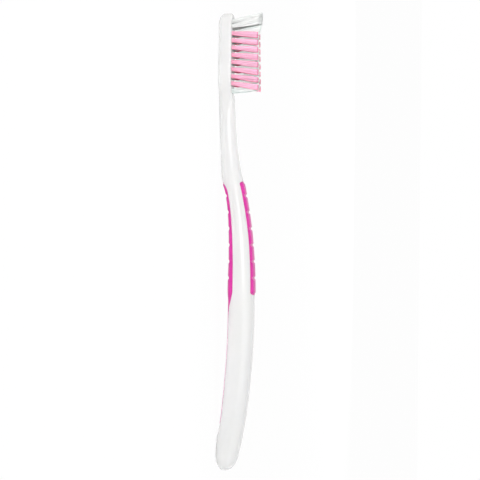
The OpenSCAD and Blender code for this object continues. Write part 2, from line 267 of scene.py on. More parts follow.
def shade(obj: bpy.types.Object, angle: float) -> None:
    """Shades an object smooth, apart from edges sharper than an angle in degrees."""
    pick([obj])
    bpy.ops.object.shade_smooth_by_angle(angle=math.radians(angle), keep_sharp_edges=False)


def hand_in(obj: bpy.types.Object, material: bpy.types.Material, node: str) -> None:
    """Gives a finished piece its material in its one slot and its body, and hides the CAD node that it stands
    for.

    Args:
        obj: The finished piece.
        material: Its material.
        node: The CAD node that it replaces.
    """
    obj.data.materials.clear()
    obj.data.materials.append(material)
    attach(obj, "root")
    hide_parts(node)
    LOG.info("%s: %d faces, stands for %s", obj.name, len(obj.data.polygons), node)


def mix(a: float, b: float, share: np.ndarray) -> np.ndarray:
    """Goes from a to b as share goes from 0 to 1."""
    return a + (b - a) * share


def ease(share: np.ndarray) -> np.ndarray:
    """Smooths a share that goes from 0 to 1."""
    v = np.clip(share, 0.0, 1.0)
    return v * v * (3 - 2 * v)


def rounded(distance: np.ndarray, length: float, power: float) -> np.ndarray:
    """Share of the full section at a distance from an end rounded over a length: power 2 is an ellipse."""
    part = np.clip((length - np.clip(distance, 0.0, None)) / length, 0.0, 1.0)
    return (1 - part**power) ** (1 / power)


def end_turns(angles: tuple[float, float, float], count: int, last: float = 88.0) -> np.ndarray:
    """Angles of the lines across a rounded end.

    Args:
        angles: The two by the tip and the first of the even ones, in degrees.
        count: How many even ones there are.
        last: The last of them, which is nearly a right angle.

    Returns:
        The angles in radians.
    """
    return np.radians(np.concatenate([angles[:2], np.linspace(angles[2], last, count)]))


# The finishes


@dataclass(frozen=True)
class Finish:
    """A real material and how its surface was made: each kind adds its own nodes to one shader."""

    name: str

    def surface(self, tree: bpy.types.NodeTree) -> dict[str, object]:
        """Adds the finish's own nodes and gives the shader's values, as each kind of finish does."""
        raise NotImplementedError

    def material(self) -> bpy.types.Material:
        """Makes the material.

        Returns:
            The material, with the finish's nodes on a principled shader.
        """
        made = new_material(self.name)
        tree = made.node_tree
        skin = add_node(tree, "ShaderNodeBsdfPrincipled", self.surface(tree))
        add_node(tree, "ShaderNodeOutputMaterial", {"Surface": skin.outputs["BSDF"]})
        return made


@dataclass(frozen=True)
class MouldedPlastic(Finish):
    """A moulded plastic: faint patches in its colour, and a fine relief from the mould.

    The patches take their colours from stops, and sockets holds the rest of the shader's values.
    """

    stops: tuple[tuple[float, str], ...]
    patch_mm: float
    patch_detail: float
    relief_mm: float
    relief_detail: float
    relief_depth_mm: float
    relief_strength: float
    sockets: dict[str, object]

    def surface(self, tree: bpy.types.NodeTree) -> dict[str, object]:
        """Adds the patches and the relief.

        Args:
            tree: The material's node tree.

        Returns:
            Values and links for the shader's sockets.
        """
        where = add_node(tree, "ShaderNodeTexCoord").outputs["Object"]
        patches = {"Vector": where, "Scale": 1 / (self.patch_mm * MM), "Detail": self.patch_detail}
        patch = add_node(tree, "ShaderNodeTexNoise", patches)
        tint = add_node(tree, "ShaderNodeValToRGB", {"Fac": patch.outputs["Fac"]})
        set_ramp(tint, self.stops)
        waves = {"Vector": where, "Scale": 1 / (self.relief_mm * MM), "Detail": self.relief_detail}
        wave = add_node(tree, "ShaderNodeTexNoise", waves).outputs["Fac"]
        relief = {"Height": wave, "Distance": self.relief_depth_mm * MM, "Strength": self.relief_strength}
        bump = add_node(tree, "ShaderNodeBump", relief)
        return {"Base Color": tint.outputs["Color"], "Normal": bump.outputs["Normal"], **self.sockets}


@dataclass(frozen=True)
class NylonFilament(Finish):
    """Extruded nylon filament: smooth, paler towards its tip, with painted shade that darkens it down in the
    tuft and on its cut end.

    Its colours are those at the root, darkened as painted shade, in the middle, at the tip and on the cut
    end, darkened as painted shade for tips that stand in shadow, that of the filaments which differ a little,
    and the inner colour, which is painted shade on the sides that face the middle of the head or the next
    tuft.
    """

    root: str
    middle: str
    tip: str
    end: str
    other: str
    inner: str
    roughness: float = 0.3

    def surface(self, tree: bpy.types.NodeTree) -> dict[str, object]:
        """Adds a colour that runs along the filament, from the attributes that a planted tuft carries.

        Args:
            tree: The material's node tree.

        Returns:
            Values and links for the shader's sockets.
        """
        along = add_node(tree, "ShaderNodeAttribute", attribute_name="along")
        run = add_node(tree, "ShaderNodeValToRGB", {"Fac": along.outputs["Fac"]})
        # Painted shade: the root is darker down in the tuft, and the cut end is darker where tips stand in
        # shadow
        set_ramp(run, ((0.0, self.root), (0.28, self.middle), (0.95, self.tip), (1.0, self.end)))
        tint = run.outputs["Color"]
        # Sockets 0, 6 and 7 of a colour mix are its factor and its two colours, and output 2 the result
        # The odd filaments differ a little at random; the second attribute mixes in the inner colour as
        # painted shade on inward sides and flanks
        for name, colour in (("strand", self.other), ("painted_shade", self.inner)):
            share = add_node(tree, "ShaderNodeAttribute", attribute_name=name)
            parts = {0: share.outputs["Fac"], 6: tint, 7: linear(colour)}
            tint = add_node(tree, "ShaderNodeMix", parts, data_type="RGBA").outputs[2]
        return {
            "Base Color": tint,
            "Roughness": self.roughness,
            "Diffuse Roughness": 1.0,
            "IOR": 1.53,
            "Specular IOR Level": 0.45,
        }


@dataclass(frozen=True)
class BrassWire(Finish):
    """Drawn and flattened brass wire of the staples: a warm metal with fine draw lines."""

    name: str = "brass_wire_drawn"
    colour: str = "#d8b56a"
    line_mm: float = 0.05
    stretch: tuple[float, float, float] = (0.15, 0.15, 1.0)

    def surface(self, tree: bpy.types.NodeTree) -> dict[str, object]:
        """Adds draw lines as streaks in the roughness.

        Args:
            tree: The material's node tree.

        Returns:
            Values and links for the shader's sockets.
        """
        where = add_node(tree, "ShaderNodeTexCoord").outputs["Object"]
        drawn = add_node(tree, "ShaderNodeMapping", {"Vector": where, "Scale": self.stretch})
        streaks = {"Vector": drawn.outputs["Vector"], "Scale": 1 / (self.line_mm * MM), "Detail": 1.0}
        lines = add_node(tree, "ShaderNodeTexNoise", streaks)
        span = {"Value": lines.outputs["Fac"], "To Min": 0.22, "To Max": 0.4}
        rough = add_node(tree, "ShaderNodeMapRange", span)
        return {"Base Color": linear(self.colour), "Metallic": 1.0, "Roughness": rough.outputs["Result"]}


# White polypropylene, injection moulded in a polished tool, which gives it gloss, a milky depth, faint clouds
# in its colour and a soft waviness
POLYPROPYLENE = MouldedPlastic(
    "polypropylene_white_moulded",
    stops=((0.3, "#e6e6e5"), (0.7, "#e7e7e7")),
    patch_mm=26.0,
    patch_detail=2.0,
    relief_mm=3.2,
    relief_detail=1.0,
    relief_depth_mm=0.012,
    relief_strength=0.6,
    sockets={
        "Roughness": 0.2,
        "Diffuse Roughness": 0.6,
        "IOR": 1.49,
        "Subsurface Weight": 0.12,
        "Subsurface Radius": (1.0, 0.9, 0.8),
        "Subsurface Scale": 0.0012,
    },
)

# Magenta thermoplastic elastomer, moulded over the handle in an eroded tool, which leaves it satin with a
# fine dry grain; its colour is darker in the grain's pits, which is painted shade
ELASTOMER = MouldedPlastic(
    "thermoplastic_elastomer_magenta",
    # The colour noise is the relief's own noise, so the darker stop lies in the pits: painted shade
    stops=((0.35, "#d4319b"), (0.6, "#de38a6")),
    patch_mm=0.55,
    patch_detail=3.0,
    relief_mm=0.55,
    relief_detail=3.0,
    relief_depth_mm=0.02,
    relief_strength=0.5,
    sockets={
        "Roughness": 0.42,
        "IOR": 1.48,
        "Specular IOR Level": 0.3,
        "Sheen Weight": 0.08,
        "Sheen Roughness": 0.4,
    },
)

# For each nylon: root, middle, tip, cut end, odd filaments and inner colour; the darker root, the cut end and
# the inner colour are painted shade
NYLONS = {
    Nylon.PINK: NylonFilament(
        "nylon_filament_pink", "#fcb8d2", "#ffcde4", "#ffd4ea", "#e084ae", "#ffcbe4", "#ff4484"
    ),
    Nylon.CLEAR: NylonFilament(
        "nylon_filament_clear", "#eef8f4", "#f8fcfb", "#fcfefd", "#fcfefd", "#f8fbfa", "#e0f3eb"
    ),
    Nylon.WHITE: NylonFilament(
        "nylon_filament_white", "#f3f4f3", "#f7f8f7", "#f8f9f8", "#e6e8e7", "#f3f4f3", "#dcdfde"
    ),
}


# The moulding


@dataclass
class Moulding:
    """The white handle, neck and head in one piece.

    Each station is a share of its zone's length, a share of the way between the zone's two widths, a share of
    the arch, a share of the way between the zone's two thicknesses, and how round the section is.
    """

    length: float = 190.0
    arch: float = 5.05
    head_length: float = 33.6
    head_width: float = 12.0
    head_thickness: float = 5.4
    face_edge: float = 0.9
    back_edge: float = 1.8
    toe_round: float = 7.0
    toe_rise_length: float = 5.0
    toe_rise: float = 1.6
    neck_length: float = 35.4
    neck_width: float = 6.2
    neck_thickness: float = 6.25
    grip_zone: float = 46.0
    shoulder_width: float = 9.8
    shoulder_thickness: float = 8.6
    body_width: float = 13.2
    body_thickness: float = 10.6
    tail_width: float = 11.0
    tail_thickness: float = 9.3
    tail_round: float = 6.8
    tail_share: float = 0.43
    round_share: float = 0.86
    plan_power: float = 2.3
    corner_points: int = 24
    hole_width: float = 1.8
    hole_depth: float = 3.5
    pocket_depth: float = 1.0
    # How far the stations' curves are evened out: less from fade_start before the heel, least at fade_end
    smoothing: float = 2.6
    least_smoothing: float = 0.14
    fade_end: float = 3.5
    fade_length: float = 8.0
    smoothing_steps: int = 13
    smoothing_falloff: float = 0.9
    # The widest a corner may be, the steepest change of width that it's turned for, and how far round it goes
    corner_share: float = 0.97
    steepest: float = 6.0
    corner_end: float = 0.9999
    # The sections stand close together from close_before the heel to close_after it
    ring_step: float = 0.8
    close_step: float = 0.25
    close_before: float = 4.0
    close_after: float = 8.0
    end_angles: tuple[float, float, float] = (0.6, 2.0, 4.5)
    end_rings: int = 22
    toe_clear: float = 0.3
    sharp_angle: float = 35.0
    stations: np.ndarray = field(init=False)

    # A section's corners in turn: the side of each, and 1 on the right or -1 on the left
    corners = ((Side.FRONT, 1), (Side.FRONT, -1), (Side.BACK, -1), (Side.BACK, 1))
    lower_shares = (
        (0, -0.1, 0, -0.65, 1),
        (0.08, 0, 0, 0, 1),
        (0.164, 0.36, 0.055, 0.9, 1),
        (0.193, 0.4, 0.11, 0.98, 1),
        (0.227, 0.43, 0.23, 0.84, 1),
        (0.267, 0.46, 0.35, 0.8, 1),
        (0.33, 0.55, 0.467, 0.84, 1),
        (0.5, 0.68, 0.697, 1.01, 1),
        (0.664, 0.82, 0.857, 1.05, 1),
        (0.83, 0.91, 0.927, 1.11, 1),
    )
    grip_shares = (
        (0, 0, 0.94, 0, 1),
        (0.17, 0, 0.974, 0.2, 1),
        (0.28, 0.03, 1, 0.43, 1),
        (0.45, 0.12, 0.992, 0.72, 1),
        (0.61, 0.29, 0.947, 1.07, 1),
        (0.72, 0.47, 0.871, 1.27, 1),
        (0.83, 0.7, 0.737, 1.38, 1),
        (0.915, 0.88, 0.584, 1.34, 1),
        (0.957, 0.95, 0.426, 1.16, 1),
        (1, 1, 0.281, 1, 1),
    )
    neck_shares = (
        (0.056, 0.17, 0.238, 0.11, 1),
        (0.2, 0.5, 0.178, 0.42, 1),
        (0.34, 0.72, 0.14, 0.64, 1),
        (0.55, 0.89, 0.07, 0.81, 1),
        (0.76, 0.95, 0.018, 0.9, 0.85),
        (0.88, 0.83, 0, 0.98, 0.45),
    )
    head_shares = (
        (-0.035, 0.3, 0, 0.2, 0.3),
        (-0.012, 0.36, 0, 0.5, 0.2),
        (0.004, 0.42, 0, 1, 0),
        (0.02, 0.48, 0, 1, 0),
        (0.08, 0.69, 0, 1, 0),
        (0.14, 0.85, 0, 1, 0),
        (0.2, 0.95, 0, 1, 0),
        (0.3, 1, 0, 1, 0),
        (0.6, 1, 0, 1, 0),
        (1, 1, 0, 1, 0),
    )

    def __post_init__(self) -> None:
        """Works out the stations in millimetres: place, half width, back, thickness, roundness."""
        lower = self.shoulder_x - self.grip_zone
        zones = (
            (self.lower_shares, 0.0, lower, "tail", "body"),
            (self.grip_shares, lower, self.grip_zone, "body", "shoulder"),
            (self.neck_shares, self.shoulder_x, self.neck_length, "shoulder", "neck"),
            (self.head_shares, self.heel_x, self.head_length, "neck", "head"),
        )
        rows = []
        for shares, start, span, first, last in zones:
            w0, w1 = getattr(self, f"{first}_width"), getattr(self, f"{last}_width")
            t0, t1 = getattr(self, f"{first}_thickness"), getattr(self, f"{last}_thickness")
            for along, wide, arch, thick, roundness in shares:
                half = mix(w0, w1, wide) / 2
                rows.append((start + along * span, half, arch * self.arch, mix(t0, t1, thick), roundness))
        self.stations = np.array(rows)

    @property
    def heel_x(self) -> float:
        """Where the head begins."""
        return self.length - self.head_length

    @property
    def shoulder_x(self) -> float:
        """Where the grips end and the neck begins."""
        return self.heel_x - self.neck_length

    def curve(self, x: np.ndarray, column: int) -> np.ndarray:
        """Reads one column of the stations as a smooth curve that never swings past its points.

        Args:
            x: Places along the brush.
            column: The column of the stations.

        Returns:
            The value at each place.
        """
        places, values = self.stations[:, 0], self.stations[:, column]
        secants = np.diff(values) / np.diff(places)
        product = secants[:-1] * secants[1:]
        total = secants[:-1] + secants[1:]
        slopes = np.empty_like(values)
        slopes[0], slopes[-1] = secants[0], secants[-1]
        slopes[1:-1] = np.where(product > 0, 2 * product / np.where(product > 0, total, 1.0), 0.0)
        i = np.clip(np.searchsorted(places, x, side="right") - 1, 0, len(places) - 2)
        span = places[i + 1] - places[i]
        u = np.clip((x - places[i]) / span, 0.0, 1.0)
        return (
            values[i] * (2 * u**3 - 3 * u**2 + 1)
            + slopes[i] * span * (u**3 - 2 * u**2 + u)
            + values[i + 1] * (3 * u**2 - 2 * u**3)
            + slopes[i + 1] * span * (u**3 - u**2)
        )

    def fair(self, x: np.ndarray, column: int) -> np.ndarray:
        """Reads one column of the stations and evens it out, less so near the heel of the head.

        Args:
            x: Places along the brush.
            column: The column of the stations.

        Returns:
            The value at each place.
        """
        away = (self.heel_x - self.fade_end - x) / self.fade_length
        reach = self.smoothing * np.clip(away, self.least_smoothing, 1.0)
        total, weights = 0.0, 0.0
        for step in np.linspace(-1, 1, self.smoothing_steps):
            weight = 1 - abs(step) * self.smoothing_falloff
            total = total + weight * self.curve(x + reach * step, column)
            weights += weight
        return total / weights

    def half_width(self, x: np.ndarray) -> np.ndarray:
        """Half the width of the brush at x."""
        toe = rounded(self.length - x, self.toe_round, self.plan_power)
        return self.fair(x, 1) * (rounded(x, self.tail_round, self.plan_power) * toe)

    def faces(self, x: np.ndarray) -> dict[Side, np.ndarray]:
        """Heights of the front and the back of the brush, which meet at the tail and draw in at the toe.

        Args:
            x: Places along the brush.

        Returns:
            For each side the height at each place.
        """
        back, thickness = self.fair(x, 2), self.fair(x, 3)
        middle = back + self.tail_share * thickness
        tail = rounded(x, self.tail_round, self.plan_power)
        rise = self.toe_rise * (1 - rounded(self.length - x, self.toe_rise_length, 2))
        drop = self.face_edge * (1 - rounded(self.length - x, self.face_edge, 2))
        high = mix(middle, back + thickness, tail) - drop
        return {Side.FRONT: high, Side.BACK: mix(middle, back, tail) + rise}

    def radii(self, x: np.ndarray, side: Side) -> tuple[np.ndarray, np.ndarray]:
        """Gives the two radii of the rounded corners on one side of the sections at x.

        Args:
            x: Places along the brush.
            side: The front or the back.

        Returns:
            The radii across the brush and through it.
        """
        faces = self.faces(x)
        half, tall = self.half_width(x), (faces[Side.FRONT] - faces[Side.BACK]) / 2
        edge = self.face_edge if side is Side.FRONT else self.back_edge
        slope = (self.half_width(x + STEP) - self.half_width(x - STEP)) / (2 * STEP)
        turned = edge * np.sqrt(1 + np.clip(slope, -self.steepest, 0) ** 2)
        roundness = self.fair(x, 4)
        across = mix(np.minimum(turned, self.corner_share * half), self.round_share * half, roundness)
        through = mix(np.minimum(edge, self.round_share * tall), self.round_share * tall, roundness)
        return across, through

    def skin(self, x: np.ndarray, y: np.ndarray, side: Side) -> np.ndarray:
        """Height of the front or back surface of the handle over a place in plan.

        Args:
            x: Places along the brush.
            y: Places across it.
            side: The front or the back.

        Returns:
            The height at each place.
        """
        across, through = self.radii(x, side)
        past = np.clip((np.abs(y) - (self.half_width(x) - across)) / across, 0.0, self.corner_end)
        drop = through * (1 - np.sqrt(1 - past**2))
        return self.faces(x)[side] - side.value * drop

    def sections(self, x: np.ndarray) -> np.ndarray:
        """Draws the sections of the moulding, each as four rounded corners.

        Args:
            x: Places along the brush.

        Returns:
            For each place the points across and up, from the right over the front to the left and the back.
        """
        half, faces = self.half_width(x), self.faces(x)
        turn = np.linspace(0, math.pi / 2, self.corner_points)
        arcs = []
        for i, (side, hand) in enumerate(self.corners):
            across, through = (radius[:, None] for radius in self.radii(x, side))
            angles = turn + i * math.pi / 2
            y = hand * (half[:, None] - across) + across * np.cos(angles)
            z = faces[side][:, None] - side.value * through + through * np.sin(angles)
            arcs.append(np.stack([y, z], 2))
        return np.concatenate(arcs, 1)

    def ring_places(self) -> np.ndarray:
        """Gives the places of the sections: close at both ends and at the heel, and even between them.

        Returns:
            Places along the brush, from the tail to the toe.
        """
        turn = end_turns(self.end_angles, self.end_rings)
        first, last = self.heel_x - self.close_before, self.heel_x + self.close_after
        return np.concatenate(
            [
                self.tail_round * (1 - np.cos(turn)),
                np.arange(self.tail_round, first, self.ring_step),
                np.arange(first, last, self.close_step),
                np.arange(last, self.length - self.toe_round - self.toe_clear, self.ring_step),
                self.length - self.toe_round * (1 - np.cos(turn[::-1])),
            ]
        )

    def build(self, middle: float, cutters: list[bpy.types.Object]) -> bpy.types.Object:
        """Makes the moulding: a bar cut into rings, each ring brought to its section, then the openings.

        Args:
            middle: How far the model's origin is from the tail.
            cutters: Closed shapes that are cut away.

        Returns:
            The moulding.
        """
        places = self.ring_places()
        around = 4 * self.corner_points
        deselect()
        bpy.ops.mesh.primitive_cylinder_add(vertices=around, radius=1, depth=2, end_fill_type="NGON")
        bar = named("handle_moulding")
        bpy.ops.object.mode_set(mode="EDIT")
        bpy.ops.mesh.select_all(action="DESELECT")
        bpy.ops.mesh.select_mode(type="EDGE")
        bpy.ops.object.mode_set(mode="OBJECT")
        ends = read_points(bar)
        # The edges that run from end to end are the ones that the rings cut
        for edge in bar.data.edges:
            a, b = edge.vertices
            edge.select = bool(abs(ends[a, 2] - ends[b, 2]) > 1)
        bpy.ops.object.mode_set(mode="EDIT")
        bpy.ops.mesh.subdivide_edgering(number_cuts=len(places) - 2, interpolation="LINEAR", smoothness=0)
        bpy.ops.object.mode_set(mode="OBJECT")
        points = read_points(bar)
        ring = step_of(points[:, 2], len(places))
        # Each point's turn about the bar says which point of the section it becomes
        angle = np.arctan2(points[:, 1], points[:, 0]) % (2 * math.pi)
        turn = np.rint(angle / (2 * math.pi) * around).astype(int) % around
        lay_points(bar, np.column_stack([places[ring], self.sections(places)[ring, turn]]), middle)
        for cutter in cutters:
            cut_away(bar, cutter)
        shade(bar, self.sharp_angle)
        return bar


# The grips


@dataclass
class Grip:
    """One elastomer pad set into the handle: a thin rim, and inside it raised pads with grooves across."""

    moulding: Moulding
    side: Side
    name: str
    low_x: float
    high_x: float
    low_end: float
    high_end: float
    low_half: float
    high_half: float
    paddle_x: float | None = None
    taper_x: float | None = None
    margin: float = 0.8
    top_margin: float = 1.25
    paddle_length: float = 45.0
    pad_fade: float = 5.0
    rim_proud: float = 0.1
    pad_proud: float = 0.4
    pad_crown: float = 0.3
    rim_width: float = 0.9
    edge_radius: float = 0.3
    edge_drop: float = 0.28
    ramp: float = 0.34
    grooves: int = 6
    groove_pitch: float = 6.82
    groove_first: float = 6.85
    groove_depth: float = 0.7
    groove_width: float = 1.9
    groove_floor: float = 0.5
    groove_round: float = 0.07
    # Between the grooves their cut is this far above the pads, and one thinner than least_cut is left out
    uncut: float = 3.0
    least_cut: float = 0.005
    along: float = 0.2
    end_angles: tuple[float, float, float] = (2.0, 6.0, 11.0)
    end_lines: int = 16
    across: int = 44
    # The lines in bands near each edge may take this share of half the width
    band_share: float = 0.72
    search: float = 2.5
    bed: float = 0.9
    cutter_lines: int = 24
    cutter_rise: float = 4.0
    sharp_angle: float = 50.0

    bands = (0, 0.04, 0.09, 0.15, 0.22, 0.3, 0.5, 0.7, 0.86, 0.95, 1.03, 1.12, 1.2, 1.3)

    def edge(self, x: np.ndarray) -> np.ndarray:
        """Half the width of the grip, with its rounded ends.

        Args:
            x: Places along the brush.

        Returns:
            Half the width at each place.
        """
        plan_power = self.moulding.plan_power
        high = rounded(self.high_x - x, self.high_end, plan_power)
        if self.paddle_x is None:
            half = mix(self.low_half, self.high_half, (x - self.low_x) / (self.high_x - self.low_x))
            return half * rounded(x - self.low_x, self.low_end, plan_power) * high
        rise = ease((x - self.paddle_x) / self.paddle_length)
        wide = self.moulding.half_width(x) - mix(self.margin, self.top_margin, rise)
        half = mix(self.low_half, wide, ease((x - self.taper_x) / (self.paddle_x - self.taper_x)))
        return half * rounded(x - self.low_x, self.low_end, 2) * high

    def places(self) -> np.ndarray:
        """Gives the places of the lines across the grip, closer at its ends.

        Returns:
            Places along the brush.
        """
        turn = end_turns(self.end_angles, self.end_lines)
        low = self.low_x + self.low_end * (1 - np.cos(turn))
        high = self.high_x - self.high_end * (1 - np.cos(turn[::-1]))
        count = int((self.high_x - self.high_end - self.low_x - self.low_end) / self.along)
        inner = np.linspace(self.low_x + self.low_end, self.high_x - self.high_end, count + 2)[1:-1]
        return np.concatenate([low, inner, high])

    def lines(self, half: np.ndarray) -> np.ndarray:
        """Places across the grip for each line: bands along both edges, even steps between them.

        Args:
            half: Half the width at each place along the grip.

        Returns:
            One row of places across for each place along.
        """
        bands = np.array(self.bands)
        rows = []
        for h in half:
            edge = h - bands * min(1.0, self.band_share * h / bands[-1])
            inner = np.linspace(edge[-1], -edge[-1], self.across - 2 * len(bands) + 2)
            rows.append(np.concatenate([edge[:-1], inner, -edge[:-1][::-1]]))
        return np.array(rows)

    def to_edge(self, points: np.ndarray) -> np.ndarray:
        """Distance in plan from each point to the grip's outline.

        Args:
            points: Places along and across.

        Returns:
            The distance of each, or infinity where the outline is far away.
        """
        x = self.places()
        half = self.edge(x)
        ring = np.concatenate([np.stack([x, half], 1), np.stack([x[::-1], -half[::-1]], 1)])
        best = np.full(len(points), math.inf)
        for start, span in zip(ring, np.roll(ring, -1, axis=0) - ring):
            near = np.abs(points[:, 0] - start[0]) < self.rim_width + self.search
            if not near.any() or not span.any():
                continue
            offset = points[near] - start
            u = np.clip(offset @ span / (span @ span), 0, 1)
            gap = np.hypot(*(offset - u[:, None] * span).T)
            best[near] = np.minimum(best[near], gap)
        return best

    def normals(self, x: np.ndarray, y: np.ndarray) -> np.ndarray:
        """Directions straight out of the handle's skin.

        Args:
            x: Places along the brush.
            y: Places across it.

        Returns:
            One direction, 1 long, for each place.
        """
        skin = self.moulding.skin
        along = (skin(x + STEP, y, self.side) - skin(x - STEP, y, self.side)) / (2 * STEP)
        over = (skin(x, y + STEP, self.side) - skin(x, y - STEP, self.side)) / (2 * STEP)
        normal = np.stack([-along, -over, np.ones_like(x)], 1) * self.side.value
        return normal / np.linalg.norm(normal, axis=1)[:, None]

    def surface(self, x: np.ndarray, y: np.ndarray) -> np.ndarray:
        """Places of the grip's outer surface.

        Args:
            x: Places along the brush.
            y: Places across it.

        Returns:
            One row of along, across and up for each place.
        """
        sign = self.side.value
        distance = self.to_edge(np.stack([x, y], 1))
        pad = self.pad_proud
        if self.paddle_x is not None:
            fade = ease((x - self.paddle_x + self.pad_fade) / self.pad_fade)
            pad = mix(self.rim_proud, self.pad_proud, fade)
        raised = ease((distance - self.rim_width) / self.ramp + 0.5)
        corner = np.clip(1 - distance / self.edge_radius, 0, 1)
        proud = self.rim_proud - (self.edge_drop + self.rim_proud) * (1 - np.sqrt(1 - corner**2))
        proud = proud + (pad - self.rim_proud) * raised
        points = np.stack([x, y, self.moulding.skin(x, y, self.side)], 1)
        points += self.normals(x, y) * proud[:, None]
        middle = self.moulding.faces(x)[self.side]
        if self.side is Side.FRONT:
            # The front pads have nearly flat tops, which stand up from the rim on both sides
            flat = middle + self.pad_proud - self.pad_crown * (y / (self.low_half - self.rim_width)) ** 2
            points[:, 2] += raised * np.clip(flat - points[:, 2], 0, None)
        deep = self.groove_cut(x)
        over = (points[:, 2] - (middle + sign * (self.pad_proud - deep))) * sign
        # The cut is softened at its edge by groove_round, and is nothing where the pads stay uncut
        soft = self.groove_round**2
        cut = 0.5 * (over + np.sqrt(over**2 + soft)) - 0.5 * (np.sqrt(self.uncut**2 + soft) - self.uncut)
        mask = (deep > self.least_cut) & (distance > self.edge_radius)
        points[:, 2] -= np.where(mask, np.clip(cut, 0, None), 0) * sign
        return points

    def groove_cut(self, x: np.ndarray) -> np.ndarray:
        """Depth of the grooves under the top of the pads, below 0 between the grooves.

        Args:
            x: Places along the brush.

        Returns:
            The depth at each place.
        """
        middles = self.moulding.shoulder_x - self.groove_first - np.arange(self.grooves) * self.groove_pitch
        away = np.abs(x[:, None] - middles).min(1) - self.groove_floor / 2
        slope = self.groove_depth / ((self.groove_width - self.groove_floor) / 2)
        return np.maximum(self.groove_depth - slope * np.clip(away, 0, None), -self.uncut)

    def build(self, middle: float) -> bpy.types.Object:
        """Makes the grip: a grid laid over its place on the handle, extruded down to its bed.

        Args:
            middle: How far the model's origin is from the tail.

        Returns:
            The grip.
        """
        x = self.places()
        y = self.lines(self.edge(x))
        rows, columns = y.shape
        deselect()
        bpy.ops.mesh.primitive_grid_add(x_subdivisions=rows - 1, y_subdivisions=columns - 1, size=2)
        grip = named(self.name)
        flat = read_points(grip)
        i, j = step_of(flat[:, 0], rows), step_of(flat[:, 1], columns)
        lay_points(grip, self.surface(x[i], y[i, j]), middle)
        start_edit()
        bpy.ops.mesh.normals_make_consistent(inside=False)
        extrude(0)
        bpy.ops.object.mode_set(mode="OBJECT")
        # The extruded copy is the selected one: it becomes the bed, just above the pocket's floor
        chosen = np.zeros(len(grip.data.vertices), bool)
        grip.data.vertices.foreach_get("select", chosen)
        points = read_points(grip) / MM + (middle, 0, 0)
        under = self.moulding.skin(points[:, 0], points[:, 1], self.side)
        points[chosen, 2] = under[chosen] - self.side.value * self.bed
        lay_points(grip, points, middle)
        start_edit()
        end_edit()
        shade(grip, self.sharp_angle)
        return grip

    def pocket_cutter(self, middle: float, gap: float) -> bpy.types.Object:
        """Makes the shape that cuts the grip's pocket into the handle.

        Args:
            middle: How far the model's origin is from the tail.
            gap: Play between the grip and the pocket's wall.

        Returns:
            A closed shape from the pocket's floor to above the handle.
        """
        x = self.places()[::2]
        deselect()
        bpy.ops.mesh.primitive_grid_add(x_subdivisions=len(x) - 1, y_subdivisions=self.cutter_lines, size=2)
        cutter = named(f"{self.name}_pocket")
        flat = read_points(cutter)
        i = step_of(flat[:, 0], len(x))
        y = flat[:, 1] * (self.edge(x) + gap)[i]
        sign, depth = self.side.value, self.moulding.pocket_depth
        floor = self.moulding.skin(x[i], y, self.side) - sign * depth
        lay_points(cutter, np.column_stack([x[i], y, floor]), middle)
        start_edit()
        extrude(sign * (depth + self.cutter_rise) * MM)
        end_edit()
        return cutter


# The tufts


@dataclass(frozen=True)
class Tuft:
    """One tuft in its hole: place, height of its middle, slant in degrees, and how it's cut and spread.

    Rise is the slope of its cut, and crown is how much lower the cut is at the edges of the head. Round_off
    takes the corner off its side towards the toe. Flare is the share of its height over which it spreads, and
    the last field is where the painted shade on its flanks begins, from 0 in its middle to 1.
    """

    x: float = 0.0
    y: float = 0.0
    height: float = 0.0
    lean: float = 0.0
    rise: float = 0.0
    crown: float = 0.0
    spread: float = 1.42
    round_off: float = 0.0
    flare: float = 0.85
    flank_shade_from: float = 0.8

    def at(self, x: float, y: float, height: float) -> "Tuft":
        """Gives a tuft like this one at a place, with a height."""
        return replace(self, x=x, y=y, height=height)


